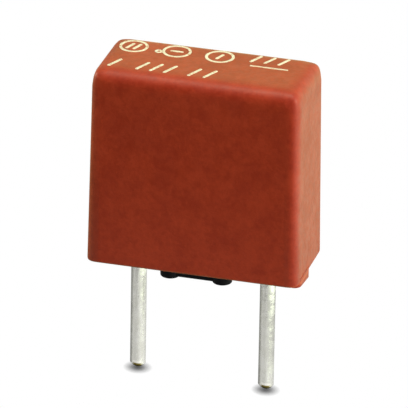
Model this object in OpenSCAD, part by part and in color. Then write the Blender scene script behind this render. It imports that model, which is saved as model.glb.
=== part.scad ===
// Radial-lead fuse in a moulded cap, standing on a circuit board.
// The origin is on the board, midway between the two leads. X runs along the row of leads,
// Y runs through the thickness and Z points up, so the leads reach below the board.
// All sizes are in millimetres.

/* [Cap] */
// Width of the cap at its rim, along the row of leads
cap_w = 8.35; // [7.95:0.05:9.5]
// Depth of the cap at its rim
cap_d = 3.8; // [3.6:0.05:5]
// Height of the cap from its rim to its top
cap_h = 7.9; // [7:0.1:10]
// Thickness of the cap's side walls
cap_wall = 0.6; // [0.5:0.05:0.7]
// Thickness of the cap's top
cap_top = 0.7; // [0.5:0.05:1]
// Draft of the cap's sides, in degrees
cap_draft = 0.75; // [0:0.05:1.5]
// Radius of the cap's upright and top edges
cap_edge_r = 0.45; // [0.3:0.05:0.8]
// Radius of the cap's edge round the rim
rim_r = 0.1; // [0.05:0.01:0.2]
// Radius inside the cap's corners
cavity_r = 0.3; // [0.2:0.05:0.5]
// Thickness of the cap's lip, beside the base
lip_wall = 0.4; // [0.3:0.05:0.45]
// Length of the remnant of the moulding gate, under the rim of the right narrow side
gate_w = 1.3; // [0.8:0.05:1.6]
// Height of that remnant below the rim
gate_h = 0.25; // [0.1:0.01:0.28]
// Place of its middle, behind or in front of the row of leads
gate_y = -0.8; // [-0.8:0.05:0.8]

/* [Base] */
// Thickness of the base
base_t = 1.3; // [1.1:0.05:1.8]
// Depth of the base's underside inside the rim
base_recess = 0.2; // [0.1:0.05:0.4]
// Gap between the base and the cap's lip
base_gap = 0.04; // [0.02:0.01:0.08]
// Radius of the snap beads on the base's long sides
snap_r = 0.16; // [0.14:0.01:0.2]
// Length of each snap bead
snap_l = 3; // [1:0.1:4]
// Part of a snap bead's radius that stands out of the base
snap_out = 0.12; // [0.06:0.01:0.14]
// Diameter of the boss round each lead, on top of the base
boss_d = 1.5; // [1.3:0.05:1.8]
// Height of those bosses
boss_h = 0.6; // [0.3:0.05:1]

/* [Feet] */
// Clear height of the rim above the board
standoff = 0.5; // [0.3:0.05:1]
// Diameter of each foot
foot_d = 0.76; // [0.5:0.02:0.9]
// Distance between the feet of a row, along X
foot_spacing = 2.04; // [1.6:0.02:2.6]
// Distance of the feet from the base's long sides
foot_inset = 0.02; // [0.01:0.01:0.2]
// Bevel round the sole of each foot
foot_bevel = 0.06; // [0.02:0.01:0.1]
// Thickness of the bar that joins the feet of a row
bar_t = 0.5; // [0.3:0.05:0.5]
// Clear height of that bar above the board
bar_lift = 0.07; // [0.03:0.01:0.25]

/* [Leads] */
// Distance between the leads' axes
pitch = 5.08; // [5:0.02:5.2]
// Diameter of each lead, with its tin
lead_d = 0.6; // [0.5:0.01:0.65]
// Thickness of the tin on the dipped end of each lead
tin_t = 0.015; // [0.01:0.005:0.02]
// Height above the board up to which the tin is full
tin_rise = 0.1; // [0.05:0.05:0.25]
// Height over which the tin thins out
tin_fade = 0.55; // [0.52:0.01:0.7]
// Length of the left lead below the board
left_length = 4.5; // [3:0.1:20]
// Length of the right lead below the board
right_length = 4.7; // [3:0.1:20]
// Bevel at the cut end of each lead
tip_bevel = 0.15; // [0.03:0.01:0.18]
// Height of each lead above the base
lead_rise = 3.4; // [2.5:0.1:4]
// Span of the flattened ears that lock a lead in the base
ear_span = 1; // [0.8:0.02:1.1]
// Thickness of the ears
ear_t = 0.3; // [0.2:0.02:0.4]
// Height of the ears
ear_h = 0.6; // [0.4:0.05:0.8]
// Gap between a lead and the base
lead_gap = 0.02; // [0.01:0.005:0.05]

/* [Fuse element] */
// Diameter of the fuse wire
wire_d = 0.08; // [0.05:0.01:0.12]
// Length of wire past each lead's axis
wire_tail = 0.38; // [0.34:0.01:0.42]
// Depth of the slot that holds the wire in the top of a lead
slot_depth = 0.25; // [0.15:0.01:0.4]
// Room for solder round the wire in its slot
slot_gap = 0.03; // [0.02:0.01:0.05]
// Diameter of each bead of solder
bead_d = 1; // [0.9:0.02:1.1]
// Height of each bead of solder
bead_h = 0.9; // [0.7:0.05:1.2]

/* [Hidden] */

cap_color = [0.62, 0.22, 0.14];
base_color = [0.07, 0.07, 0.08];
lead_color = [0.80, 0.80, 0.76];
wire_color = [0.78, 0.62, 0.45];
solder_color = [0.70, 0.71, 0.73];

// Steps of a quarter circle, and facets of a full one, in a blended shell
quarter_steps = 8;
shell_fn = 4 * quarter_steps;
// Facets of a round piece
round_fn = 64;
// Reach of a cutting shape past the face that it opens, and height of a thin slice
cut = 0.2;
slice = 0.02;

lean = tan(cap_draft);
rim_z = standoff;
base_z = rim_z + base_recess;
base_top = base_z + base_t;
// The ledge inside the cap, which the base seats against
ledge = base_recess + base_t;
plug_inset = lip_wall + ledge * lean + base_gap;
plug_w = cap_w - 2 * plug_inset;
plug_d = cap_d - 2 * plug_inset;
snap_y = plug_d / 2 + snap_out - snap_r;
snap_z = base_z + base_t / 2;
foot_row = plug_d / 2 - foot_inset - foot_d / 2;
lead_r = lead_d / 2;
core_r = lead_r - tin_t;
// Depth of the gate's remnant behind the cap's side, its thickness and its root inside the lip
gate_skin = 0.01;
gate_t = lip_wall - 0.1;
gate_root = rim_r + 0.1;
lead_top = base_top + lead_rise;
ear_z = base_z + (base_t - ear_h) / 2;
wire_z = lead_top - slot_depth + slot_gap + wire_d / 2;
slot_w = wire_d + 2 * slot_gap;

// Points of an arc, from one angle to another, round a centre
function arc(r, from, to, centre = [0, 0]) =
    [for (i = [0:quarter_steps]) let (a = from + (to - from) * i / quarter_steps)
        centre + r * [cos(a), sin(a)]];

// Places a child at each corner of a rectangle, set in by the corner's radius
module at_corners(w, d, r) {
    for (sx = [-1, 1], sy = [-1, 1])
        translate([sx * (w / 2 - r), sy * (d / 2 - r), 0])
            children();
}

// Lower corner of a shell, with its edge rounded by edge_r
module shell_foot(r, edge_r) {
    rotate_extrude($fn = shell_fn)
        polygon(concat([[0, edge_r], [0, 0]], arc(edge_r, -90, 0, [r - edge_r, edge_r])));
}

// Upper corner of a shell: a dome
module shell_dome(r) {
    rotate_extrude($fn = shell_fn)
        polygon(concat([[0, 0]], arc(r, 0, 90)));
}

// Drafted block with rounded upright edges, a rounded top and an eased lower edge
module domed_block(w, d, h, r, edge_r) {
    rise = h - r;
    hull() {
        at_corners(w, d, r) shell_foot(r, edge_r);
        translate([0, 0, rise])
            at_corners(w - 2 * rise * lean, d - 2 * rise * lean, r) shell_dome(r);
    }
}

// Drafted block with rounded upright edges and flat ends
module flat_block(w, d, h, r) {
    hull() {
        at_corners(w, d, r) cylinder(h = slice, r = r, $fn = shell_fn);
        translate([0, 0, h - slice])
            at_corners(w - 2 * h * lean, d - 2 * h * lean, r) cylinder(h = slice, r = r, $fn = shell_fn);
    }
}

// Upright block with exact rounded corners
module rounded_plate(w, d, h, r) {
    linear_extrude(h) {
        square([w - 2 * r, d], center = true);
        square([w, d - 2 * r], center = true);
        at_corners(w, d, r) circle(r = r, $fn = round_fn);
    }
}

// Snap beads on both long sides of the base, grown by a gap where they cut the cap
module snap_beads(gap) {
    for (side = [-1, 1])
        translate([0, side * snap_y, snap_z])
            rotate([0, 90, 0])
                cylinder(h = snap_l + 2 * gap, r = snap_r + gap, center = true, $fn = round_fn);
}

// What is left of the moulding gate: a small tab under the rim, broken off slantwise at its front end
module gate_remnant() {
    back = gate_w / 2;
    translate([cap_w / 2 - gate_skin - gate_t, gate_y, rim_z])
        rotate([90, 0, 90])
            linear_extrude(gate_t)
                polygon([[back, gate_root], [back, -gate_h], [gate_h - back, -gate_h], [-back, 0],
                    [-back, gate_root]]);
}

// Hollow cap, open below: a thin lip round the base and a ledge above it
module cap() {
    color(cap_color)
        difference() {
            union() {
                translate([0, 0, rim_z])
                    domed_block(cap_w, cap_d, cap_h, cap_edge_r, rim_r);
                gate_remnant();
            }
            translate([0, 0, rim_z])
                domed_block(cap_w - 2 * cap_wall, cap_d - 2 * cap_wall, cap_h - cap_top, cavity_r, rim_r);
            translate([0, 0, rim_z - cut])
                flat_block(cap_w - 2 * (lip_wall - cut * lean), cap_d - 2 * (lip_wall - cut * lean),
                    ledge + cut, cavity_r);
            snap_beads(base_gap);
        }
}

// Foot under the base, with its sole on the board
module foot() {
    r = foot_d / 2;
    rotate_extrude($fn = round_fn)
        polygon([[0, 0], [r - foot_bevel, 0], [r, foot_bevel], [r, base_z + cut], [0, base_z + cut]]);
}

// Row of two feet and the bar between them
module foot_row_pair(side) {
    translate([0, side * foot_row, 0]) {
        for (end = [-1, 1])
            translate([end * foot_spacing / 2, 0, 0])
                foot();
        translate([-foot_spacing / 2, -bar_t / 2, bar_lift])
            cube([foot_spacing, bar_t, base_z + cut - bar_lift]);
    }
}

// Insert that closes the cap, with a bore and a boss for each lead and feet below
module base() {
    color(base_color)
        difference() {
            union() {
                translate([0, 0, base_z])
                    rounded_plate(plug_w, plug_d, base_t, cavity_r);
                snap_beads(0);
                for (side = [-1, 1]) {
                    translate([side * pitch / 2, 0, base_top - cut])
                        cylinder(h = boss_h + cut, d = boss_d, $fn = round_fn);
                    foot_row_pair(side);
                }
            }
            for (side = [-1, 1])
                translate([side * pitch / 2, 0, 0]) {
                    translate([0, 0, base_z - cut])
                        cylinder(h = base_t + boss_h + 2 * cut, r = core_r + lead_gap, $fn = round_fn);
                    ears(lead_gap);
                }
        }
}

// Flattened ears on a lead, grown by a gap where they cut the base
module ears(gap) {
    translate([-ear_span / 2 - gap, -ear_t / 2 - gap, ear_z - gap])
        cube([ear_span + 2 * gap, ear_t + 2 * gap, ear_h + 2 * gap]);
}

// Round lead: a tinned free end with a bevelled cut, ears in the base and a slotted top
module lead(side, length) {
    translate([side * pitch / 2, 0, 0])
        difference() {
            union() {
                rotate_extrude($fn = round_fn)
                    polygon([[0, -length], [lead_r - tip_bevel, -length], [lead_r, tip_bevel - length],
                        [lead_r, tin_rise], [core_r, tin_rise + tin_fade], [core_r, lead_top], [0, lead_top]]);
                ears(0);
            }
            translate([-lead_r - cut, -slot_w / 2, lead_top - slot_depth])
                cube([lead_d + 2 * cut, slot_w, slot_depth + cut]);
        }
}

// Lead on the left, seen from the front
module lead_left() {
    color(lead_color)
        lead(-1, left_length);
}

// Lead on the right, seen from the front
module lead_right() {
    color(lead_color)
        lead(1, right_length);
}

// Thin wire that melts, laid from slot to slot
module fuse_wire() {
    color(wire_color)
        translate([0, 0, wire_z])
            rotate([0, 90, 0])
                cylinder(h = pitch + 2 * wire_tail, d = wire_d, center = true, $fn = round_fn);
}

// Bead of solder over one end of the wire, moulded round the wire and the top of the lead
module solder(side) {
    color(solder_color)
        difference() {
            translate([side * pitch / 2, 0, wire_z])
                rotate_extrude($fn = round_fn)
                    polygon([for (p = concat(arc(1, -90, 0), arc(1, 0, 90)))
                        [p.x * bead_d / 2, p.y * bead_h / 2]]);
            lead(side, left_length);
            fuse_wire();
        }
}

// Solder on the left lead
module solder_left() {
    solder(-1);
}

// Solder on the right lead
module solder_right() {
    solder(1);
}

cap();
base();
lead_left();
lead_right();
fuse_wire();
solder_left();
solder_right();
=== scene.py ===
"""Visual model of a small sealed fuse for a circuit board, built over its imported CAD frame.

The cap, the base, the leads and the parts inside are modelled in millimetres with Blender's
own tools and then scaled to metres, where the frame's nodes stand.
"""

import logging
import math
from collections.abc import Callable, Iterator, Sequence
from contextlib import contextmanager
from dataclasses import dataclass, replace
from enum import Enum

import bmesh
import bpy
from mathutils import Matrix, Vector


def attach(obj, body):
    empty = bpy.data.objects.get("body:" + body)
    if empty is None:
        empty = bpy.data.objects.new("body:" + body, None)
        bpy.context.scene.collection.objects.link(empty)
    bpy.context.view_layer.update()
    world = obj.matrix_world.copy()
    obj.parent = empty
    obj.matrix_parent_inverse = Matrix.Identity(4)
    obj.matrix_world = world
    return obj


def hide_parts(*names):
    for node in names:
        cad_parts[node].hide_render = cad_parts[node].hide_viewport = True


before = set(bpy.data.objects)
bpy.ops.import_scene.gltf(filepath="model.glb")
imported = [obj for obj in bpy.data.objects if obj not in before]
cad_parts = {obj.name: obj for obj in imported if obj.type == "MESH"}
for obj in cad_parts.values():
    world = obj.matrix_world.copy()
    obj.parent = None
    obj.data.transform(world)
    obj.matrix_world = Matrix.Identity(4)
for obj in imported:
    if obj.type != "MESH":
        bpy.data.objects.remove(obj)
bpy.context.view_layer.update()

LOG = logging.getLogger("fuse")
# One millimetre, in metres.
MM = 0.001
# How near a place must be to a face to count as on it, in millimetres.
NEAR = 0.01
# Corners that lie closer than this are merged, in millimetres.
WELD = 0.0002
# How far a body reaches into the one that it is joined to or cut out of, in millimetres.
OVERLAP = 0.2
# Share of its length above which a direction counts as running along an axis.
ALONG = 0.5
# Distance between the axes of the leads, in millimetres.
PITCH = 5.08
# Distance from the middle and height of the snap fit between the cap and the base.
SNAP_Y, SNAP_Z = 1.4005, 1.35
# Height of the middle of the leads' ears, which lock them in the base.
EAR_Z = 1.35

Colour = tuple[float, float, float]
Profile = Sequence[tuple[float, float]]
Span = tuple[float, float]
Test = Callable[[Vector, Vector], bool]
WHITE: Colour = (1.0, 1.0, 1.0)


class Part(Enum):
    """What a selection picks on a mesh, as Blender's three select modes."""

    CORNERS = (True, False, False)
    EDGES = (False, True, False)
    FACES = (False, False, True)


class Join(Enum):
    """How one body is combined with another."""

    ADD = "UNION"
    CUT = "DIFFERENCE"


class Side(Enum):
    """The two ends of the row of leads, seen from the front."""

    LEFT = -1
    RIGHT = 1


def arc(radius: float, start: float, stop: float, centre: tuple[float, float],
        steps: int) -> list[tuple[float, float]]:
    """Points of an arc in a turned profile.

    Args:
        radius: Radius of the arc, in millimetres.
        start: First angle, in degrees, where 0 points outwards and 90 points up.
        stop: Last angle, in degrees.
        centre: Centre of the arc, as distance from the axis and height.
        steps: Number of straight steps along the arc.

    Returns:
        The points as (distance from the axis, height) pairs.
    """
    angles = [math.radians(start + (stop - start) * i / steps) for i in range(steps + 1)]
    return [(centre[0] + radius * math.cos(a), centre[1] + radius * math.sin(a)) for a in angles]


def upright(place: Vector, way: Vector) -> bool:
    """Tells whether an edge runs up and down, as a test for Model.pick()."""
    return abs(way.z) > ALONG


def level(place: Vector, way: Vector) -> bool:
    """Tells whether an edge runs level, as a test for Model.pick()."""
    return abs(way.z) < ALONG


class Model:
    """A body on the bench, in millimetres, shaped with Blender's modelling tools."""

    def __init__(self, name: str) -> None:
        """Takes over the primitive that was just added, with its place moved into its mesh.

        Args:
            name: Name of the piece.
        """
        self.obj: bpy.types.Object = bpy.context.active_object
        self.obj.name = name
        self.obj.data.name = name
        bpy.ops.object.transform_apply(location=True, rotation=True, scale=True)

    @classmethod
    def block(cls, name: str, size: Sequence[float], centre: Sequence[float]) -> "Model":
        """Starts from a block.

        Args:
            name: Name of the piece.
            size: Width, depth and height.
            centre: Centre of the block.

        Returns:
            The new body.
        """
        bpy.ops.object.select_all(action="DESELECT")
        bpy.ops.mesh.primitive_cube_add(size=1, location=centre, scale=size)
        return cls(name)

    @classmethod
    def rod(cls, name: str, radius: float, length: float, centre: Sequence[float],
            sides: int = 48) -> "Model":
        """Starts from a round rod that lies along X.

        Args:
            name: Name of the piece.
            radius: Radius of the rod.
            length: Length of the rod.
            centre: Centre of the rod.
            sides: Facets round the rod.

        Returns:
            The new body.
        """
        bpy.ops.object.select_all(action="DESELECT")
        bpy.ops.mesh.primitive_cylinder_add(vertices=sides, radius=radius, depth=length,
                                            location=centre, rotation=(0, math.pi / 2, 0))
        return cls(name)

    @classmethod
    def turned(cls, name: str, profile: Profile, at: tuple[float, float] = (0, 0),
               sides: int = 64) -> "Model":
        """Turns a solid of revolution about an upright axis, ring by ring, from a disc.

        Args:
            name: Name of the piece.
            profile: Rings from bottom to top, as (radius, height) pairs.
            at: Place of the axis.
            sides: Facets round the axis.

        Returns:
            The new body.
        """
        radius, height = profile[0]
        bpy.ops.object.select_all(action="DESELECT")
        bpy.ops.mesh.primitive_circle_add(vertices=sides, radius=radius, fill_type="NGON",
                                          location=(at[0], at[1], height))
        body = cls(name)
        with body.editing(Part.FACES):
            bpy.ops.mesh.select_all(action="SELECT")
            for ring, rise in profile[1:]:
                body.extrude((0, 0, rise - height))
                body.resize((ring / radius, ring / radius, 1), (at[0], at[1], rise))
                radius, height = ring, rise
        return body

    @contextmanager
    def editing(self, part: Part) -> Iterator[None]:
        """Opens the body in edit mode with nothing selected.

        Args:
            part: What is going to be selected.

        Yields:
            Nothing; the body leaves edit mode at the end.
        """
        self.activate()
        bpy.ops.object.mode_set(mode="EDIT")
        bpy.context.tool_settings.mesh_select_mode = part.value
        bpy.ops.mesh.select_all(action="DESELECT")
        yield
        bpy.ops.object.mode_set(mode="OBJECT")

    def activate(self) -> None:
        """Makes this body the only selected one and the active one."""
        bpy.ops.object.select_all(action="DESELECT")
        self.obj.select_set(True)
        bpy.context.view_layer.objects.active = self.obj

    def pick(self, part: Part, test: Test) -> None:
        """Selects parts of the mesh by their place and direction.

        Args:
            part: What is selected.
            test: Takes the place and the direction of a part: a corner's or a face's normal,
                or the way that an edge runs.
        """
        mesh = bmesh.from_edit_mesh(self.obj.data)
        if part is Part.EDGES:
            ends = ((edge, edge.verts[0].co, edge.verts[1].co) for edge in mesh.edges)
            found = [edge for edge, first, second in ends
                     if test((first + second) / 2, (second - first).normalized())]
        elif part is Part.FACES:
            found = [face for face in mesh.faces if test(face.calc_center_median(), face.normal)]
        else:
            found = [corner for corner in mesh.verts if test(corner.co, corner.normal)]
        for item in found:
            item.select_set(True)
        mesh.select_flush_mode()
        bmesh.update_edit_mesh(self.obj.data)

    def extrude(self, by: Sequence[float]) -> None:
        """Extrudes the selected faces by a vector."""
        bpy.ops.mesh.extrude_region_move(TRANSFORM_OT_translate={"value": tuple(by)})

    def resize(self, by: Sequence[float], centre: Sequence[float]) -> None:
        """Scales the selection about a centre."""
        bpy.ops.transform.resize(value=tuple(by), center_override=tuple(centre))

    def round_off(self, radius: float, test: Test, steps: int = 3) -> None:
        """Rounds edges with an arc.

        Args:
            radius: Width of the bevel on each side of the edge.
            test: Picks the edges by their place and the way that they run.
            steps: Segments across the bevel.
        """
        with self.editing(Part.EDGES):
            self.pick(Part.EDGES, test)
            bpy.ops.mesh.bevel(offset=radius, segments=steps, profile=0.5, affect="EDGES",
                               clamp_overlap=True)

    def blend(self, radius: float, profile: float, share: Callable[[Vector, Vector], float],
              steps: int) -> None:
        """Rounds edges that meet at corners, each by its own share of one radius.

        Args:
            radius: Width of the widest bevel on each side of its edge.
            profile: Shape of the bevels: 0.5 is an arc, and more is a fuller edge.
            share: Gives an edge's share of the radius, between 0 and 1, from its place and the
                way that it runs.
            steps: Segments across each bevel.
        """
        self.activate()
        mesh = self.obj.data
        shares = mesh.attributes.new("bevel_weight_edge", "FLOAT", "EDGE")
        for edge in mesh.edges:
            first, second = (mesh.vertices[i].co for i in edge.vertices)
            way = (second - first).normalized()
            shares.data[edge.index].value = share((first + second) / 2, way)
        modifier = self.obj.modifiers.new("blend", "BEVEL")
        modifier.limit_method = "WEIGHT"
        modifier.width, modifier.segments, modifier.profile = radius, steps, profile
        bpy.ops.object.modifier_apply(modifier=modifier.name)

    def combine(self, other: "Model", how: Join) -> None:
        """Adds another body to this one, or cuts it out of this one.

        Args:
            other: The other body, which is used up.
            how: Whether it is added or cut out.
        """
        self.activate()
        modifier = self.obj.modifiers.new("combine", "BOOLEAN")
        modifier.operation = how.value
        modifier.solver = "EXACT"
        modifier.object = other.obj
        bpy.ops.object.modifier_apply(modifier=modifier.name)
        bpy.data.objects.remove(other.obj)

    def gather(self, others: "Sequence[Model]") -> None:
        """Joins other bodies to this one as separate shells of the same piece.

        Args:
            others: The other bodies, which are used up.
        """
        self.activate()
        for other in others:
            other.obj.select_set(True)
        bpy.ops.object.join()

    def copied(self, name: str, by: Sequence[float]) -> "Model":
        """Copies the body, with a mesh of its own, and moves the copy.

        Args:
            name: Name of the copy.
            by: How far the copy moves.

        Returns:
            The copy.
        """
        self.activate()
        bpy.ops.object.duplicate(linked=False)
        bpy.context.active_object.location = by
        return Model(name)

    def clean(self, smooth_below: float = 35) -> bpy.types.Object:
        """Closes the mesh, turns its faces outwards, scales it to metres and smooths its shading.

        Args:
            smooth_below: Edges that turn less than this angle, in degrees, are shaded smooth.

        Returns:
            The finished object.
        """
        with self.editing(Part.CORNERS):
            bpy.ops.mesh.select_all(action="SELECT")
            bpy.ops.mesh.remove_doubles(threshold=WELD)
            bpy.ops.mesh.normals_make_consistent(inside=False)
        self.activate()
        self.obj.scale = (MM, MM, MM)
        bpy.ops.object.transform_apply(location=True, rotation=True, scale=True)
        bpy.ops.object.shade_smooth_by_angle(angle=math.radians(smooth_below))
        modifier = self.obj.modifiers.new("even", "WEIGHTED_NORMAL")
        modifier.keep_sharp = True
        modifier.weight = 100
        bpy.ops.object.modifier_apply(modifier=modifier.name)
        return self.obj


class Value:
    """A number that a shader tree works out, which Python's operators can be used on."""

    def __init__(self, tree: "Tree", socket: bpy.types.NodeSocket) -> None:
        """Wraps a socket.

        Args:
            tree: The tree that the socket is in.
            socket: The output socket.
        """
        self.tree = tree
        self.socket = socket

    def _math(self, operation: str, first: "Value | float", second: "Value | float") -> "Value":
        """Adds a Math node and returns its result."""
        return self.tree.add("ShaderNodeMath", {"operation": operation}, {0: first, 1: second})

    def __add__(self, other: "Value | float") -> "Value":
        """Sum."""
        return self._math("ADD", self, other)

    def __radd__(self, other: float) -> "Value":
        """Sum with a number on the left."""
        return self._math("ADD", other, self)

    def __sub__(self, other: "Value | float") -> "Value":
        """Difference."""
        return self._math("SUBTRACT", self, other)

    def __rsub__(self, other: float) -> "Value":
        """Difference from a number."""
        return self._math("SUBTRACT", other, self)

    def __mul__(self, other: "Value | float") -> "Value":
        """Product."""
        return self._math("MULTIPLY", self, other)

    def __rmul__(self, other: float) -> "Value":
        """Product with a number on the left."""
        return self._math("MULTIPLY", other, self)

    def __truediv__(self, other: "Value | float") -> "Value":
        """Quotient."""
        return self._math("DIVIDE", self, other)

    def __pow__(self, other: float) -> "Value":
        """Power."""
        return self._math("POWER", self, other)

    def above(self, other: float) -> "Value":
        """The larger of this value and a number."""
        return self._math("MAXIMUM", self, other)

    def fade(self, start: float, stop: float) -> "Value":
        """A smooth step.

        Args:
            start: Where the step is 0.
            stop: Where the step is 1; it may lie below start.

        Returns:
            A value between 0 and 1.
        """
        ends = (start, stop, 0.0, 1.0) if start < stop else (stop, start, 1.0, 0.0)
        sockets = dict(zip(("From Min", "From Max", "To Min", "To Max"), ends))
        return self.tree.add("ShaderNodeMapRange", {"interpolation_type": "SMOOTHSTEP"},
                             {"Value": self, **sockets})


class Tree:
    """A node tree of a material or of the world, built by expressions."""

    def __init__(self, owner: bpy.types.Material | bpy.types.World) -> None:
        """Empties the owner's tree.

        Args:
            owner: The material or world.
        """
        owner.use_nodes = True
        self.nodes = owner.node_tree.nodes
        self.links = owner.node_tree.links
        self.nodes.clear()

    def make(self, kind: str, settings: dict[str, object],
             inputs: dict[str | int, object]) -> bpy.types.Node:
        """Adds a node.

        Args:
            kind: Blender's name of the node type.
            settings: Properties of the node, set before its sockets.
            inputs: Values, colours or links of its sockets, by name or number.

        Returns:
            The node.
        """
        node = self.nodes.new(kind)
        for key, value in settings.items():
            setattr(node, key, value)
        for key, value in inputs.items():
            if isinstance(value, Value):
                self.links.new(value.socket, node.inputs[key])
            elif isinstance(value, bpy.types.NodeSocket):
                self.links.new(value, node.inputs[key])
            elif isinstance(value, tuple) and node.inputs[key].type == "RGBA":
                node.inputs[key].default_value = (*value, 1)
            else:
                node.inputs[key].default_value = value
        return node

    def add(self, kind: str, settings: dict[str, object], inputs: dict[str | int, object],
            output: str | int = 0) -> Value:
        """Adds a node and returns one of its outputs; the arguments are those of make()."""
        return Value(self, self.make(kind, settings, inputs).outputs[output])

    def place(self, stretch: Sequence[float] = (1, 1, 1)) -> Value:
        """Object coordinates in millimetres.

        Args:
            stretch: Factor on each axis.

        Returns:
            The vector.
        """
        raw = self.add("ShaderNodeTexCoord", {}, {}, "Object")
        scale = tuple(factor / MM for factor in stretch)
        return self.add("ShaderNodeMapping", {}, {"Vector": raw, "Scale": scale})

    def axes(self, vector: Value) -> tuple[Value, Value, Value]:
        """The three numbers of a vector."""
        x, y, z = self.make("ShaderNodeSeparateXYZ", {}, {"Vector": vector}).outputs
        return Value(self, x), Value(self, y), Value(self, z)

    def ray(self, fact: str) -> Value:
        """What Light Path tells of the ray that meets the surface, such as "Is Camera Ray"."""
        return self.add("ShaderNodeLightPath", {}, {}, fact)

    def mix(self, factor: Value | float, first: Value | Colour, second: Value | Colour) -> Value:
        """Blends two colours.

        Args:
            factor: 0 gives the first colour and 1 the second.
            first: A colour or a link to one.
            second: A colour or a link to one.

        Returns:
            The colour.
        """
        return self.add("ShaderNodeMix", {"data_type": "RGBA"}, {0: factor, 6: first, 7: second}, 2)

    def bump(self, height: Value, depth: float) -> Value:
        """Turns a height between 0 and 1 into a normal.

        Args:
            height: The height.
            depth: Height of 1, in millimetres.

        Returns:
            The normal.
        """
        return self.add("ShaderNodeBump", {}, {"Height": height, "Distance": depth * MM})

    def surface(self, **sockets: object) -> None:
        """Ends the tree in a Principled shader.

        Args:
            sockets: Its sockets, with underscores for spaces.
        """
        inputs = {key.replace("_", " "): value for key, value in sockets.items()}
        shader = self.make("ShaderNodeBsdfPrincipled", {}, inputs)
        self.make("ShaderNodeOutputMaterial", {}, {"Surface": shader.outputs[0]})


def weigh(weights: Sequence[float], values: Sequence[Value], start: float = 0.0) -> Value:
    """Adds values up, each by its own weight.

    Args:
        weights: The weights.
        values: The values.
        start: Number that the sum starts from.

    Returns:
        The sum.
    """
    return sum((weight * value for weight, value in zip(weights, values)), start)


@dataclass(frozen=True)
class Mottle:
    """One layer of cloudy noise.

    Attributes:
        size: Size of its largest features, in millimetres.
        detail: Number of finer layers in it.
        rough: Strength of the finer layers.
        span: Values of the noise that become 0 and 1; without a span it stays as it is.
    """

    size: float
    detail: float = 3
    rough: float = 0.55
    span: Span | None = None

    def read(self, tree: Tree, place: Value) -> Value:
        """Adds the layer to a material.

        Args:
            tree: Tree of the material.
            place: Where the noise is read, in millimetres.

        Returns:
            A value between 0 and 1.
        """
        noise = tree.add("ShaderNodeTexNoise", {}, {"Vector": place, "Scale": 1 / self.size,
                                                    "Detail": self.detail, "Roughness": self.rough})
        return noise.fade(*self.span) if self.span else noise


@dataclass(frozen=True)
class MouldedPlastic:
    """Satin thermoplastic with a faint cloud of pigment, a fine grain and a painted highlight of
    floor light along its bottom edge.
    """

    name: str
    # Two colours that the pigment varies between.
    colour: Colour
    shade: Colour
    roughness: float = 0.5
    specular: float = 0.3
    sheen: float = 0.0
    sheen_roughness: float = 0.5
    sheen_tint: Colour = WHITE
    # Layers of noise, and how they add up: clouds, specks and grain in the pigment, specks and
    # clouds in the roughness, grain and specks in the relief, which is depth millimetres high.
    clouds: Mottle = Mottle(1.3, 4, 0.8, (0.36, 0.64))
    specks: Mottle = Mottle(0.24, 2, 0.8, (0.34, 0.66))
    grain: Mottle = Mottle(0.08, 2, 0.55, (0.3, 0.7))
    pigment: tuple[float, float, float] = (0.65, 0.3, 0.05)
    swing: tuple[float, float] = (0.1, -0.06)
    relief: tuple[float, float] = (0.2, 0.8)
    depth: float = 0.003
    # Painted highlight of floor light on the bottom edge: its colour, its height, and the spans
    # over which it fades out above and below.
    edge: Colour = (0.0, 0.0, 0.0)
    rim_light_z: float = -10.0
    rim_light_above: Span = (0.11, 0.05)
    rim_light_below: Span = (-0.06, -0.01)

    def material(self) -> bpy.types.Material:
        """Makes the material.

        Returns:
            The material.
        """
        material = bpy.data.materials.new(self.name)
        tree = Tree(material)
        place = tree.place()
        clouds, specks, grain = (layer.read(tree, place)
                                 for layer in (self.clouds, self.specks, self.grain))
        height = tree.axes(place)[2]
        above, under = ([self.rim_light_z + end for end in span]
                        for span in (self.rim_light_above, self.rim_light_below))
        # Painted highlight: a brighter band along the rim, where floor light would fall on it.
        painted_rim_light = height.fade(*above) * height.fade(*under)
        pigment = weigh(self.pigment, (clouds, specks, grain))
        tree.surface(
            Base_Color=tree.mix(painted_rim_light, tree.mix(pigment, self.shade, self.colour), self.edge),
            Roughness=weigh(self.swing, (specks, clouds), self.roughness),
            Specular_IOR_Level=self.specular,
            Sheen_Weight=self.sheen,
            Sheen_Roughness=self.sheen_roughness,
            Sheen_Tint=self.sheen_tint,
            Normal=tree.bump(weigh(self.relief, (grain, specks)), self.depth),
        )
        return material


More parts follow.
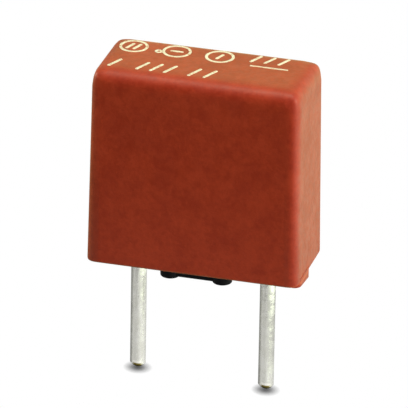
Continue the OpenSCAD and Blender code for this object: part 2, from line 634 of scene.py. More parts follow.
@dataclass(frozen=True)
class TinnedMetal:
    """Tin plating, clouded by handling, with bare metal on the sheared tip, painted dark as the
    shade it mirrors, and a burr painted bright as a glint.
    """

    name: str
    # Place of the tip along the row and its height, its slope, and where the slope starts.
    tip: tuple[float, float]
    tip_slope: float
    slope_start: float
    bright: Colour = (0.89, 0.88, 0.83)
    dull: Colour = (0.74, 0.735, 0.66)
    # The bare metal is painted dark as the shaded floor it mirrors, and the burr is painted bright
    # as a glint.
    bare_and_mirrored_shade: Colour = (0.22, 0.17, 0.04)
    burr: Colour = (1.0, 0.98, 0.90)
    # Layers of noise, the streaks drawn out along the lead, and how they add up: clouds and
    # streaks in the patches, those and the bare metal in the roughness, pits, streaks and clouds
    # in the relief.
    clouds: Mottle = Mottle(0.5, 5, 0.65, (0.36, 0.62))
    streaks: Mottle = Mottle(0.09, 3, 0.55, (0.35, 0.7))
    streak_stretch: tuple[float, float, float] = (1, 1, 0.16)
    pits: Mottle = Mottle(0.12, 3, 0.7)
    patches: tuple[float, float] = (0.6, 0.4)
    roughness: float = 0.25
    swing: tuple[float, float, float] = (0.1, -0.06, 0.1)
    relief: tuple[float, float, float] = (0.4, 0.25, 0.45)
    depth: float = 0.011
    # Spans over which the bare metal, darkened as painted shade, and the burr, brightened as a
    # painted glint, fade out above the slope of the tip, and towards the right and the left of the
    # lead's axis.
    bare_and_shade_height: Span = (0.225, 0.185)
    burr_height: Span = (0.325, 0.285)
    right_end: Span = (0.28, 0.16)
    left_end: Span = (-0.16, -0.06)

    def material(self) -> bpy.types.Material:
        """Makes the material.

        Returns:
            The material.
        """
        material = bpy.data.materials.new(self.name)
        tree = Tree(material)
        place = tree.place()
        clouds = self.clouds.read(tree, place)
        streaks = self.streaks.read(tree, tree.place(self.streak_stretch))
        pits = self.pits.read(tree, place)
        x, _, z = tree.axes(place)
        across = x - self.tip[0]
        height = z - self.tip[1] - self.tip_slope * (self.slope_start - across)
        sheared = across.fade(*self.right_end) * across.fade(*self.left_end)
        # Painted shade: bare metal darkened where the tip mirrors the shaded floor. Painted glint:
        # the bright burr above it.
        bare_and_mirrored_shade = height.fade(*self.bare_and_shade_height) * sheared
        burr = height.fade(*self.burr_height) * sheared
        plating = tree.mix(weigh(self.patches, (clouds, streaks)), self.dull, self.bright)
        tree.surface(
            Base_Color=tree.mix(bare_and_mirrored_shade, tree.mix(burr, plating, self.burr), self.bare_and_mirrored_shade),
            Metallic=1.0,
            Roughness=weigh(self.swing, (clouds, streaks, bare_and_mirrored_shade), self.roughness),
            Normal=tree.bump(weigh(self.relief, (pits, streaks, clouds)), self.depth),
        )
        return material


@dataclass(frozen=True)
class SolidMetal:
    """Plain metal with a fine crystalline or drawn surface."""

    name: str
    bright: Colour
    dull: Colour
    roughness: float
    depth: float
    # Two layers of noise, and how they add up in the roughness and in the relief.
    cells: Mottle
    fine: Mottle
    swing: tuple[float, float] = (0.12, -0.05)
    relief: tuple[float, float] = (0.5, 0.5)

    def material(self) -> bpy.types.Material:
        """Makes the material.

        Returns:
            The material.
        """
        material = bpy.data.materials.new(self.name)
        tree = Tree(material)
        place = tree.place()
        layers = self.cells.read(tree, place), self.fine.read(tree, place)
        tree.surface(
            Base_Color=tree.mix(layers[0], self.dull, self.bright),
            Metallic=1.0,
            Roughness=weigh(self.swing, layers, self.roughness),
            Normal=tree.bump(weigh(self.relief, layers), self.depth),
        )
        return material


@dataclass(frozen=True)
class PrintedInk:
    """Cream stamping ink, slightly broken where the plastic's grain shows through."""

    name: str
    # Colours where the ink covers well and where it is thin.
    colour: Colour
    thin: Colour
    cover: Mottle = Mottle(0.16, 3, 0.7, (0.28, 0.5))
    roughness: float = 0.5
    swing: float = 0.1
    specular: float = 0.25
    depth: float = 0.003

    def material(self) -> bpy.types.Material:
        """Makes the material.

        Returns:
            The material.
        """
        material = bpy.data.materials.new(self.name)
        tree = Tree(material)
        cover = self.cover.read(tree, tree.place())
        tree.surface(
            Base_Color=tree.mix(cover, self.thin, self.colour),
            Roughness=self.roughness + self.swing * cover,
            Specular_IOR_Level=self.specular,
            Normal=tree.bump(cover, self.depth),
        )
        return material


@dataclass
class Cap:
    """The moulded cap: a drafted box, open below, with a thin lip round the base.

    Above the lip, a ledge stops the base, and snap grooves in the long walls hold it. A tab under
    the right side's rim is what is left of the moulding gate. All sizes are in millimetres.
    """

    # Width and depth at the rim, height above it, height of the rim, and draft in degrees.
    width: float = 8.28
    depth: float = 3.8
    height: float = 7.9
    rim: float = 0.5
    draft: float = 0.75
    # Rounding of the top edges, the upright edges' share of it, its shape, and the eased rim.
    edge_blend: float = 0.75
    upright_share: float = 0.72
    blend_profile: float = 0.648
    rim_radius: float = 0.1
    # Walls, the corners inside, the wall of the lip, and the ledge's height above the rim.
    wall: float = 0.6
    top_wall: float = 0.7
    corner_radius: float = 0.3
    lip_wall: float = 0.4
    ledge: float = 1.5
    # The tab: its size below the rim, its root above it, its middle, and how far it stands out.
    gate_length: float = 1.42
    gate_height: float = 0.25
    gate_thickness: float = 0.3
    gate_root: float = 0.2
    gate_y: float = -0.86
    gate_step: float = 0.015
    # Its front corner: how far it is rounded, moved back and lifted; and its eased foot.
    gate_turn: float = 0.28
    gate_slant: float = 0.06
    gate_lift: float = 0.11
    gate_ease: float = 0.03
    # The snap grooves.
    snap_y: float = SNAP_Y
    snap_z: float = SNAP_Z
    snap_radius: float = 0.2
    snap_length: float = 3.08
    # Its finish paints a brighter band along the bottom of the rim, as a highlight of floor light.
    finish: MouldedPlastic = MouldedPlastic(
        "cap_plastic", (0.495, 0.0310, 0.0103), (0.355, 0.0107, 0.0011), specular=0.5,
        sheen=0.2, sheen_tint=(0.7, 1.0, 0.3), edge=(0.70, 0.080, 0.018), rim_light_z=0.5)

    def drafted(self, name: str, inset: float, bottom: float, top: float) -> Model:
        """Makes a block whose sides lean with the cap's draft.

        Args:
            name: Name of the body.
            inset: Distance of its sides inside the cap's, at the height of the rim.
            bottom: Height of its bottom.
            top: Height of its top.

        Returns:
            The block.
        """
        lean = math.tan(math.radians(self.draft))

        def size(z: float) -> tuple[float, float]:
            """Width and depth of the block at a height."""
            shrink = 2 * (inset + (z - self.rim) * lean)
            return self.width - shrink, self.depth - shrink

        low, high = size(bottom), size(top)
        body = Model.block(name, (*low, top - bottom), (0, 0, (bottom + top) / 2))
        with body.editing(Part.FACES):
            body.pick(Part.FACES, lambda place, normal: normal.z > ALONG)
            body.resize((high[0] / low[0], high[1] / low[1], 1), (0, 0, top))
        return body

    def shell(self) -> Model:
        """Shapes the outside: blended upright and top edges, and an eased rim.

        Returns:
            The solid block.
        """
        body = self.drafted("cap_moulding", 0, self.rim, self.rim + self.height)

        def share(place: Vector, way: Vector) -> float:
            """Share of the blend that an edge has, as Model.blend() asks for it.

            Args:
                place: Middle of the edge.
                way: The way that it runs.

            Returns:
                All along the top, less on the upright edges, and none round the rim.
            """
            if place.z < self.rim + NEAR:
                return 0.0
            return self.upright_share if upright(place, way) else 1.0

        body.blend(self.edge_blend, self.blend_profile, share, steps=16)
        body.round_off(self.rim_radius, lambda place, way: (
            place.z < self.rim + NEAR and level(place, way)), steps=4)
        return body

    def gate_remnant(self) -> Model:
        """Shapes the tab under the rim: its front corner turned and lifted, its foot eased.

        Returns:
            The tab.
        """
        low = self.rim - self.gate_height
        height = self.gate_height + self.gate_root
        outer = self.width / 2 + self.gate_step
        front = self.gate_y - self.gate_length / 2
        body = Model.block("gate", (self.gate_thickness, self.gate_length, height),
                           (outer - self.gate_thickness / 2, self.gate_y, low + height / 2))
        body.round_off(self.gate_turn, lambda place, way: (
            upright(place, way) and place.y < front + NEAR and place.x > outer - NEAR), steps=6)
        with body.editing(Part.CORNERS):
            body.pick(Part.CORNERS, lambda place, normal: (
                place.z < low + NEAR and place.y < front + self.gate_turn + NEAR))
            bpy.ops.transform.translate(value=(0, self.gate_slant, self.gate_lift))
        body.round_off(self.gate_ease, lambda place, way: place.z < low + NEAR)
        return body

    def hollow(self, body: Model) -> None:
        """Cuts the cavity, the seat of the base and the snap grooves.

        Args:
            body: The solid block.
        """
        open_end = self.rim - OVERLAP
        ceiling = self.rim + self.height - self.top_wall
        cavity = self.drafted("cavity", self.wall, open_end, ceiling)
        cavity.round_off(self.corner_radius, lambda place, way: place.z > self.rim, steps=6)
        seat = self.drafted("seat", self.lip_wall, open_end, self.rim + self.ledge)
        seat.round_off(self.corner_radius, upright, steps=6)
        body.combine(cavity, Join.CUT)
        body.combine(seat, Join.CUT)
        for y in (-self.snap_y, self.snap_y):
            groove = Model.rod("groove", self.snap_radius, self.snap_length, (0, y, self.snap_z))
            body.combine(groove, Join.CUT)

    def build(self) -> bpy.types.Object:
        """Builds and dresses the cap.

        Returns:
            The finished piece.
        """
        body = self.shell()
        body.combine(self.gate_remnant(), Join.ADD)
        self.hollow(body)
        return fit(body.clean(), self.finish.material(), "cap")


@dataclass
class Base:
    """The black insert that closes the cap: a plate with bosses and snap beads above.

    Below it stand four round feet, joined in pairs by bars that stop short of the board.
    """

    # The plate: its size, its height above the board, its corners and its eased edges.
    width: float = 7.431
    depth: float = 2.881
    bottom: float = 0.7
    top: float = 2.0
    corner_radius: float = 0.3
    ease: float = 0.04
    # The bosses round the leads, their bores, and the pockets of the leads' ears.
    boss_radius: float = 0.75
    boss_height: float = 0.6
    boss_ease: float = 0.06
    bore_radius: float = 0.305
    pocket_size: tuple[float, float, float] = (1.04, 0.34, 0.64)
    # The feet, each with a small flare where it meets the plate, and the bars between them.
    foot_radius: float = 0.38
    foot_x: float = 1.02
    foot_y: float = 1.0405
    foot_bevel: float = 0.06
    flare: float = 0.015
    flare_start: float = 0.03
    flare_stop: float = 0.005
    bar_thickness: float = 0.5
    bar_lift: float = 0.07
    bar_ease: float = 0.05
    # The snap beads.
    snap_y: float = SNAP_Y
    snap_z: float = SNAP_Z
    snap_radius: float = 0.16
    snap_length: float = 3.0
    finish: MouldedPlastic = MouldedPlastic("base_plastic", (0.008, 0.008, 0.011),
                                            (0.004, 0.004, 0.006), roughness=0.42, specular=0.09)

    def plate(self) -> Model:
        """Shapes the plate, with rounded corners and eased edges.

        Returns:
            The plate.
        """
        body = Model.block("base_insert", (self.width, self.depth, self.top - self.bottom),
                           (0, 0, (self.bottom + self.top) / 2))
        body.round_off(self.corner_radius, upright, steps=8)
        body.round_off(self.ease, level)
        return body

    def add_feet(self, body: Model) -> None:
        """Adds two rows of feet, each with its bar.

        Args:
            body: The plate.
        """
        radius, bevel, root = self.foot_radius, self.foot_bevel, self.foot_radius + self.flare
        sole = arc(bevel, -90, 0, (radius - bevel, bevel), steps=5)
        profile = [*sole, (radius, self.bottom - self.flare_start),
                   (root, self.bottom + self.flare_stop), (root, self.bottom + OVERLAP)]
        foot = Model.turned("foot", profile, (-self.foot_x, -self.foot_y))
        feet = [foot.copied("foot", (x * 2 * self.foot_x, y * 2 * self.foot_y, 0))
                for x, y in ((1, 0), (0, 1), (1, 1))]
        height = self.bottom + OVERLAP - self.bar_lift
        bar = Model.block("bar", (2 * self.foot_x, self.bar_thickness, height),
                          (0, -self.foot_y, self.bar_lift + height / 2))
        bar.round_off(self.bar_ease, lambda place, way: (
            place.z < self.bar_lift + NEAR and abs(way.x) > ALONG))
        other = bar.copied("bar", (0, 2 * self.foot_y, 0))
        for piece in (foot, *feet, bar, other):
            body.combine(piece, Join.ADD)

    def add_top(self, body: Model) -> None:
        """Adds the bosses round the leads and the snap beads.

        Args:
            body: The plate.
        """
        radius, top, ease = self.boss_radius, self.top + self.boss_height, self.boss_ease
        rim = arc(ease, 0, 90, (radius - ease, top - ease), steps=4)
        boss = Model.turned("boss", [(radius, self.top - OVERLAP), *rim], (-PITCH / 2, 0))
        twin = boss.copied("boss", (PITCH, 0, 0))
        beads = [Model.rod("bead", self.snap_radius, self.snap_length, (0, y, self.snap_z))
                 for y in (-self.snap_y, self.snap_y)]
        for piece in (boss, twin, *beads):
            body.combine(piece, Join.ADD)

    def bore(self, body: Model) -> None:
        """Cuts the bores of the leads and the pockets of their ears.

        Args:
            body: The plate with all that stands on it.
        """
        low, high = self.bottom - OVERLAP, self.top + self.boss_height + OVERLAP
        for side in Side:
            x = side.value * PITCH / 2
            profile = [(self.bore_radius, low), (self.bore_radius, high)]
            bore = Model.turned("bore", profile, (x, 0))
            bore.combine(Model.block("pocket", self.pocket_size, (x, 0, EAR_Z)), Join.ADD)
            body.combine(bore, Join.CUT)

    def build(self) -> bpy.types.Object:
        """Builds and dresses the base.

        Returns:
            The finished piece.
        """
        body = self.plate()
        self.add_feet(body)
        self.add_top(body)
        self.bore(body)
        return fit(body.clean(), self.finish.material(), "base")


@dataclass
class Lead:
    """A round tinned lead: a sheared tip, flattened ears inside the base and a slotted top.

    Inside the base it is a little thinner than its tinned part, and a short cone joins the two.
    """

    side: Side
    # Length below the board plane.
    length: float
    radius: float = 0.3
    core_radius: float = 0.285
    # Height of the tinned part's top, length of the cone, and the rings along both parts.
    tin_rise: float = 0.1
    tin_fade: float = 0.55
    tinned_rings: tuple[float, ...] = (-3.0, -1.5, 0.0)
    core_rings: tuple[float, ...] = (1.5, 3.0, 4.0)
    top: float = 5.4
    top_ease: float = 0.03
    # The tip: its bevel, the rings on it as shares of the bevel inwards and upwards, the burr
    # where it begins, and the slope that the shears left, with its reach up the lead.
    tip_bevel: float = 0.15
    tip_curve: tuple[tuple[float, float], ...] = ((1.0, 0.0), (0.45, 0.4), (0.12, 0.82))
    burr: float = 0.003
    burr_height: float = 0.03
    tip_slope: float = 0.11
    slant_reach: float = 0.6
    # The flattened ears inside the base, and the slot in the top.
    ear_size: tuple[float, float, float] = (1.0, 0.3, 0.6)
    ear_ease: float = 0.03
    slot_length: float = 1.0
    slot_width: float = 0.14
    slot_depth: float = 0.25

    @property
    def x(self) -> float:
        """Place of the lead along the row."""
        return self.side.value * PITCH / 2

    @property
    def end(self) -> str:
        """The lead's end of the row, as it stands in names."""
        return self.side.name.lower()

    def blank(self, name: str) -> Model:
        """Turns the round blank, with a small burr where its rounded tip begins.

        Args:
            name: Name of the body.

        Returns:
            The blank.
        """
        radius, bevel = self.radius, self.tip_bevel
        tip = [(radius - inward * bevel, upward * bevel - self.length)
               for inward, upward in self.tip_curve]
        tip += [(radius + self.burr, bevel - self.length),
                (radius, bevel + self.burr_height - self.length)]
        tinned = [(radius, z) for z in (*self.tinned_rings, self.tin_rise)]
        core, ease = self.core_radius, self.top_ease
        inner = [(core, z) for z in (self.tin_rise + self.tin_fade, *self.core_rings)]
        crown = arc(ease, 0, 90, (core - ease, self.top - ease), steps=3)
        return Model.turned(name, [*tip, *tinned, *inner, *crown], (self.x, 0))

    def shear(self, body: Model) -> None:
        """Leans the tip, most at its end, so that it looks cut off slightly out of square.

        Args:
            body: The blank.
        """
        with body.editing(Part.CORNERS):
            body.pick(Part.CORNERS, lambda place, normal: place.z < self.slant_reach - self.length)
            mesh = bmesh.from_edit_mesh(body.obj.data)
            for corner in (vert for vert in mesh.verts if vert.select):
                share = 1 - (corner.co.z + self.length) / self.slant_reach
                left = self.radius / 2 - (corner.co.x - self.x)
                corner.co.z += self.tip_slope * left * share
            bmesh.update_edit_mesh(body.obj.data)

    def body(self, name: str) -> Model:
        """Shapes the whole lead, with its ears and the slot for the fuse wire.

        Args:
            name: Name of the body.

        Returns:
            The lead.
        """
        body = self.blank(name)
        self.shear(body)
        ears = Model.block("ears", self.ear_size, (self.x, 0, EAR_Z))
        ears.round_off(self.ear_ease, lambda place, way: True, steps=2)
        body.combine(ears, Join.ADD)
        height = self.slot_depth + OVERLAP
        slot = Model.block("slot", (self.slot_length, self.slot_width, height),
                           (self.x, 0, self.top - self.slot_depth + height / 2))
        body.combine(slot, Join.CUT)
        return body

    def build(self) -> bpy.types.Object:
        """Builds and dresses the lead.

        Returns:
            The finished piece.
        """
        finish = TinnedMetal(f"tin_plating_{self.end}", (self.x, -self.length), self.tip_slope,
                             slope_start=self.radius / 2)
        piece = self.body(f"tinned_lead_{self.end}").clean()
        return fit(piece, finish.material(), f"lead_{self.end}")


@dataclass
class FuseElement:
    """What melts: a thin wire laid in the slots of the leads, and the solder at each end."""

    leads: tuple[Lead, Lead]
    # Height of the wire's axis above the board, which the beads share.
    wire_z: float = 5.22
    wire_radius: float = 0.04
    wire_length: float = 5.84
    wire_sides: int = 24
    wire_ease: float = 0.015
    bead_radius: float = 0.5
    bead_height: float = 0.9
    bead_sides: int = 48
    # Where the bead's outline ends below and above, and its step, in degrees.
    bead_end: int = 84
    bead_turn: int = 7
    wire_finish: SolidMetal = SolidMetal(
        "drawn_wire", (0.76, 0.60, 0.42), (0.62, 0.47, 0.32), roughness=0.26, depth=0.002,
        cells=Mottle(0.2, 4, 0.6, (0.35, 0.68)), fine=Mottle(0.04, 2))
    solder_finish: SolidMetal = SolidMetal(
        "solder", (0.70, 0.71, 0.73), (0.52, 0.53, 0.55), roughness=0.34, depth=0.006,
        cells=Mottle(0.16, 4, 0.6, (0.35, 0.68)), fine=Mottle(0.032, 2))

    def wire(self, name: str) -> Model:
        """Draws the wire, with softened ends.

        Args:
            name: Name of the body.

        Returns:
            The wire.
        """
        body = Model.rod(name, self.wire_radius, self.wire_length, (0, 0, self.wire_z),
                         self.wire_sides)
        reach = self.wire_length / 2 - NEAR
        body.round_off(self.wire_ease, lambda place, way: abs(place.x) > reach, steps=2)
        return body

    def bead(self, lead: Lead) -> Model:
        """Sets a bead of solder over the end of the wire.

        Args:
            lead: The lead that it sits on.

        Returns:
            The bead, hollowed round the lead and the wire.
        """
        rise = self.bead_height / 2
        turns = range(-self.bead_end, self.bead_end + 1, self.bead_turn)
        profile = [(self.bead_radius * math.cos(a), self.wire_z + rise * math.sin(a))
                   for a in map(math.radians, turns)]
        body = Model.turned(f"solder_bead_{lead.end}", profile, (lead.x, 0), self.bead_sides)
        body.combine(lead.body("core"), Join.CUT)
        body.combine(self.wire("core"), Join.CUT)
        return body

    def build(self) -> list[bpy.types.Object]:
        """Builds and dresses the wire and the two beads.

        Returns:
            The finished pieces.
        """
        wire = self.wire("melting_wire").clean()
        fit(wire, self.wire_finish.material(), "fuse_wire")
        solder = self.solder_finish.material()
        beads = [fit(self.bead(lead).clean(), solder, f"solder_{lead.end}")
                 for lead in self.leads]
        return [wire, *beads]


@dataclass(frozen=True)
class Ring:
    """A plain printed ring: its centre and outer radius."""

    x: float
    y: float
    radius: float


@dataclass(frozen=True)
class Bar:
    """A plain printed bar: centre, length, turn in degrees and width of its line."""

    x: float
    y: float
    length: float
    turn: float = 0.0
    width: float = 0.12

    def row(self, count: int, step: float) -> "tuple[Bar, ...]":
        """Repeats the bar along the cap.

        Args:
            count: Number of bars.
            step: Distance from one to the next.

        Returns:
            The bars, with this one first.
        """
        return tuple(replace(self, x=self.x + i * step) for i in range(count))


@dataclass
class InkMarks:
    """Plain rings and bars of ink, printed on the top of the cap as one thin film."""

    # Height of the cap's top, thickness of the film above it, and how far it reaches into it.
    top: float = 8.4
    film: float = 0.008
    sink: float = 0.004
    # Line of the rings, at most a share of a small ring's radius, and the bars' rounded ends as
    # a share of their width.
    line: float = 0.11
    line_share: float = 0.6
    ring_sides: int = 56
    end_share: float = 0.45
    rings: tuple[Ring, ...] = (Ring(-3.08, 0.78, 0.56), Ring(-1.40, 0.79, 0.56),
                               Ring(0.27, 0.79, 0.56), Ring(-2.06, 0.60, 0.15))
    bars: tuple[Bar, ...] = (
        *Bar(-3.22, 0.78, 0.56, 70).row(2, 0.28), Bar(-1.40, 0.79, 0.52),
        Bar(0.27, 0.79, 0.52, 70), Bar(2.30, 0.335, 1.48, width=0.09),
        *Bar(1.62, 1.00, 0.72, 66).row(3, 0.54), Bar(-3.34, -0.90, 0.82, 66),
        *Bar(-2.26, -0.90, 0.82, 66).row(3, 0.54), *Bar(-0.24, -0.90, 0.82, 66).row(2, 0.60))
    finish: PrintedInk = PrintedInk("cream_ink", (0.96, 0.84, 0.70), (0.76, 0.40, 0.25))

    def ring(self, shape: Ring) -> Model:
        """Prints a ring.

        Args:
            shape: Its place and size.

        Returns:
            The ring.
        """
        bpy.ops.object.select_all(action="DESELECT")
        bpy.ops.mesh.primitive_circle_add(vertices=self.ring_sides, radius=shape.radius,
                                          fill_type="NGON",
                                          location=(shape.x, shape.y, self.top - self.sink))
        body = Model("ring")
        with body.editing(Part.FACES):
            bpy.ops.mesh.select_all(action="SELECT")
            bpy.ops.mesh.inset(thickness=min(self.line, shape.radius * self.line_share))
            bpy.ops.mesh.delete(type="FACE")
            bpy.ops.mesh.select_all(action="SELECT")
            body.extrude((0, 0, self.film + self.sink))
        return body

    def bar(self, shape: Bar) -> Model:
        """Prints a bar with rounded ends.

        Args:
            shape: Its place and size.

        Returns:
            The bar.
        """
        height = self.film + self.sink
        body = Model.block("bar", (shape.length, shape.width, height),
                           (0, 0, self.top - self.sink + height / 2))
        body.round_off(shape.width * self.end_share, upright, steps=4)
        body.activate()
        body.obj.rotation_euler = (0, 0, math.radians(shape.turn))
        body.obj.location = (shape.x, shape.y, 0)
        bpy.ops.object.transform_apply(location=True, rotation=True, scale=True)
        return body

    def build(self) -> bpy.types.Object:
        """Builds and dresses the marks as one film of ink.

        Returns:
            The finished piece.
        """
        shapes = [*map(self.ring, self.rings), *map(self.bar, self.bars)]
        film, rest = shapes[0], shapes[1:]
        film.gather(rest)
        film.obj.name = film.obj.data.name = "ink_marks"
        piece = film.clean()
        piece.data.materials.clear()
        piece.data.materials.append(self.finish.material())
        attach(piece, "root")
        return piece


@dataclass(frozen=True)
class Softbox:
    """A soft square light that looks at the fuse: its place and side in metres, and its power."""

    name: str
    place: tuple[float, float, float]
    size: float
    power: float


@dataclass(frozen=True)
class Mirrored:
    """What the fuse mirrors: how bright its surroundings and the floor are, by direction.

    A way is a level direction along X and Y, and a span holds the shares of it, or the places
    along the floor in millimetres, between which a gain or a loss fades in.
    """

    # Surroundings on the right and behind, with the powers that gather them there.
    right_glow: float = 3.15
    right_power: float = 1.4
    back_glow: float = 0.8
    back_power: float = 2.0
    # Floor beside the leads: its own glow, more of it one way, less another way and far right.
    floor_glow: float = 0.68
    bright_way: tuple[float, float] = (0.951, -0.309)
    bright_span: Span = (0.0, 1.15)
    bright_gain: float = 0.34
    dark_way: tuple[float, float] = (-0.82, 0.57)
    dark_span: Span = (0.6, 0.87)
    dark_loss: float = 0.4
    far_span: Span = (2.9, 6.5)
    far_loss: float = 0.28
    # Keeps a direction's length off zero.
    tiny: float = 1e-9

    def level_length(self, x: Value, y: Value) -> Value:
        """Length of a direction seen from above, kept off zero."""
        return (x * x + y * y + self.tiny) ** 0.5

    def surround(self, x: Value, y: Value) -> Value:
        """Brightness of the background: bright on the right, paler behind, dark in front.

        Args:
            x: The mirrored ray's direction along X.
            y: Its direction along Y.

        Returns:
            The brightness.
        """
        length = self.level_length(x, y)
        right = self.right_glow * (x / length).above(0) ** self.right_power
        return right + self.back_glow * (y / length).above(0) ** self.back_power

    def nearby(self, x: Value, y: Value, spot: Value) -> Value:
        """Brightness of the floor by the leads: bright on the right, dim behind on the left.

        Args:
            x: The mirrored ray's direction along X.
            y: Its direction along Y.
            spot: Place along X where it meets the floor, in millimetres.

        Returns:
            The brightness.
        """
        length = self.level_length(x, y)
        bright, dark = (weigh(way, (x, y)) / length for way in (self.bright_way, self.dark_way))
        glow = self.floor_glow + self.bright_gain * bright.fade(*self.bright_span)
        glow = glow - self.dark_loss * dark.fade(*self.dark_span)
        return glow * (1 - self.far_loss * spot.fade(*self.far_span))


@dataclass
class Studio:
    """White floor, soft light and the camera of the photograph."""

    # The floor: its height in millimetres, its tilt in degrees and its side in metres.
    floor_z: float = -4.70
    floor_tilt: float = 2.35
    floor_size: float = 2.0
    # The shadow under the tips, and the distances at which mirrored floor counts as near.
    contact_reach: float = 0.37
    contact_power: float = 2.1
    contact_samples: int = 16
    near_span: Span = (15.5, 11.0)
    # The camera: angles in degrees, distance in millimetres, and pixels to the millimetre.
    azimuth: float = 15.13
    elevation: float = 24.68
    roll: float = 1.05
    distance: float = 250.0
    scale: float = 26.36
    # Where the photograph shows the origin, the side of the picture, and of the sensor.
    origin_pixel: tuple[float, float] = (203.59, 267.15)
    picture: float = 408.0
    sensor: float = 36.0
    # Light of the world and of the floor, the tint of all light, and the height it aims at.
    ambient: float = 0.06
    bounce: float = 0.08
    tint: Colour = (0.90, 1.0, 0.76)
    aim_z: float = 4.0
    mirrored: Mirrored = Mirrored()
    softboxes: tuple[Softbox, ...] = (
        Softbox("overhead", (0.0, -0.0728, 0.3464), 0.12, 0.765),
        Softbox("front", (0.0, -0.2250, 0.2721), 0.12, 0.14),
        Softbox("side", (0.3244, -0.0950, 0.0946), 0.12, 0.98),
        Softbox("left", (-0.338, 0.0, 0.0946), 0.12, 0.8),
    )

    def camera(self) -> None:
        """Sets the camera where the outline of the fuse in the photograph puts it."""
        azimuth, elevation, roll = map(math.radians, (self.azimuth, self.elevation, self.roll))
        back = Vector((math.sin(azimuth) * math.cos(elevation),
                       -math.cos(azimuth) * math.cos(elevation), math.sin(elevation)))
        level_way = Vector((math.cos(azimuth), math.sin(azimuth), 0))
        down = (-back).cross(level_way)
        if down.z > 0:
            down = -down
        right = math.cos(roll) * level_way - math.sin(roll) * down
        under = math.sin(roll) * level_way + math.cos(roll) * down
        off = [(pixel - self.picture / 2) / self.scale for pixel in self.origin_pixel]
        place = (-off[0] * right - off[1] * under + self.distance * back) * MM
        data = bpy.data.cameras.new("camera")
        data.sensor_width = self.sensor
        data.lens = self.scale * self.distance * self.sensor / self.picture
        data.clip_start, data.clip_end = 0.01, 20
        camera = bpy.data.objects.new("camera", data)
        bpy.context.scene.collection.objects.link(camera)
        rows = [(right[i], -under[i], back[i], place[i]) for i in range(3)]
        camera.matrix_world = Matrix((*rows, (0, 0, 0, 1)))
        bpy.context.scene.camera = camera

    def background(self, tree: Tree) -> Value:
        """Tells the rays that see the white background from those that carry light.

        Args:
            tree: Tree of the floor or the world.

        Returns:
            1 for camera, mirror and glass rays, and 0 for the rest.
        """
        seen, mirrored, through = map(tree.ray, ("Is Camera Ray", "Is Glossy Ray",
                                                 "Is Transmission Ray"))
        return tree.add("ShaderNodeMath", {"operation": "ADD", "use_clamp": True},
                        {0: seen + mirrored, 1: through})

    def shine(self, tree: Tree, kinds: tuple[str, str], tint: Value, glow: Value,
              light: float) -> None:
        """Ends a tree in what its background shows and the light that it gives.

        Args:
            tree: Tree of the floor or the world.
            kinds: Blender's names of its shader and of its output node.
            tint: Colour that is seen and mirrored.
            glow: Brightness that is seen and mirrored.
            light: Brightness of the light that it gives.
        """
        shader, output = kinds
        shown = tree.make(shader, {}, {"Color": tint, "Strength": glow})
        given = tree.make(shader, {}, {"Color": self.tint, "Strength": light})
        both = tree.make("ShaderNodeMixShader", {}, {
            0: self.background(tree), 1: given.outputs[0], 2: shown.outputs[0]})
        tree.make(output, {}, {"Surface": both.outputs[0]})

    def floor(self) -> None:
        """Lays the white floor, which darkens where the tips stand on it."""
        bpy.ops.object.select_all(action="DESELECT")
        bpy.ops.mesh.primitive_plane_add(size=self.floor_size, location=(0, 0, self.floor_z * MM),
                                         rotation=(0, math.radians(self.floor_tilt), 0))
        floor = bpy.context.active_object
        floor.name = "floor"
        bpy.ops.object.transform_apply(location=True, rotation=True, scale=True)
        material = bpy.data.materials.new("white_floor")
        tree = Tree(material)
        incoming = tree.add("ShaderNodeNewGeometry", {}, {}, "Incoming")
        x, y = (-1 * part for part in tree.axes(incoming)[:2])
        spot = tree.axes(tree.place())[0]
        contact = tree.add("ShaderNodeAmbientOcclusion", {"samples": self.contact_samples},
                           {"Distance": self.contact_reach * MM}, "AO")
        seen = tree.ray("Is Camera Ray")
        near = (tree.ray("Ray Length") / MM).fade(*self.near_span)
        by_distance = (near * self.mirrored.nearby(x, y, spot)
                       + (1 - near) * self.mirrored.surround(x, y))
        glow = contact ** self.contact_power * (seen + (1 - seen) * by_distance)
        tint = tree.mix(seen + near, self.tint, WHITE)
        kinds = ("ShaderNodeEmission", "ShaderNodeOutputMaterial")
        self.shine(tree, kinds, tint, glow, self.bounce)
        floor.data.materials.append(material)

    def surroundings(self) -> None:
        """Sets the world: white behind the fuse, and a dim, even light all round it."""
        world = bpy.data.worlds.new("studio")
        bpy.context.scene.world = world
        tree = Tree(world)
        x, y, _ = tree.axes(tree.add("ShaderNodeTexCoord", {}, {}, "Generated"))
        seen = tree.ray("Is Camera Ray")
        glow = seen + (1 - seen) * self.mirrored.surround(x, y)
        tint = tree.mix(seen, self.tint, WHITE)
        kinds = ("ShaderNodeBackground", "ShaderNodeOutputWorld")
        self.shine(tree, kinds, tint, glow, self.ambient)

    def lights(self) -> None:
        """Hangs the softboxes, turned towards the cap."""
        aim = Vector((0, 0, self.aim_z * MM))
        for box in self.softboxes:
            data = bpy.data.lights.new(box.name, "AREA")
            data.shape = "SQUARE"
            data.size = box.size
            data.energy = box.power
            data.color = self.tint
            lamp = bpy.data.objects.new(box.name, data)
            lamp.location = box.place
            lamp.rotation_euler = (Vector(box.place) - aim).to_track_quat("Z", "Y").to_euler()
            bpy.context.scene.collection.objects.link(lamp)

    def build(self) -> None:
        """Sets up floor, world, lights and camera, with colours shown as they are."""
        self.floor()
        self.surroundings()
        self.lights()
        self.camera()
        bpy.context.scene.view_settings.view_transform = "Standard"


def fit(piece: bpy.types.Object, material: bpy.types.Material, node: str) -> bpy.types.Object:
    """Dresses a piece and puts it in the place of its CAD node.

    Args:
        piece: The finished object.
        material: Its material.
        node: The CAD node that it stands for.

    Returns:
        The piece.
    """
    piece.data.materials.clear()
    piece.data.materials.append(material)
    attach(piece, "root")
    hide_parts(node)
    return piece


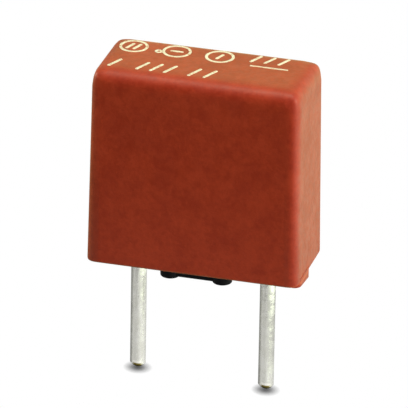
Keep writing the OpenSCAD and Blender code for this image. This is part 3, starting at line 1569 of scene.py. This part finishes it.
def report(*pieces: bpy.types.Object) -> None:
    """Logs the name and the number of triangles of each piece.

    Args:
        pieces: The finished pieces.
    """
    for piece in pieces:
        piece.data.calc_loop_triangles()
        LOG.info("%s: %d triangles", piece.name, len(piece.data.loop_triangles))


def main() -> None:
    """Builds the fuse piece by piece, then the studio."""
    logging.basicConfig(level=logging.INFO, format="%(message)s")
    left, right = Lead(Side.LEFT, 4.5), Lead(Side.RIGHT, 4.7)
    report(Cap().build())
    report(Base().build())
    report(left.build(), right.build())
    report(*FuseElement((left, right)).build())
    report(InkMarks().build())
    Studio().build()


if __name__ == "__main__":
    main()
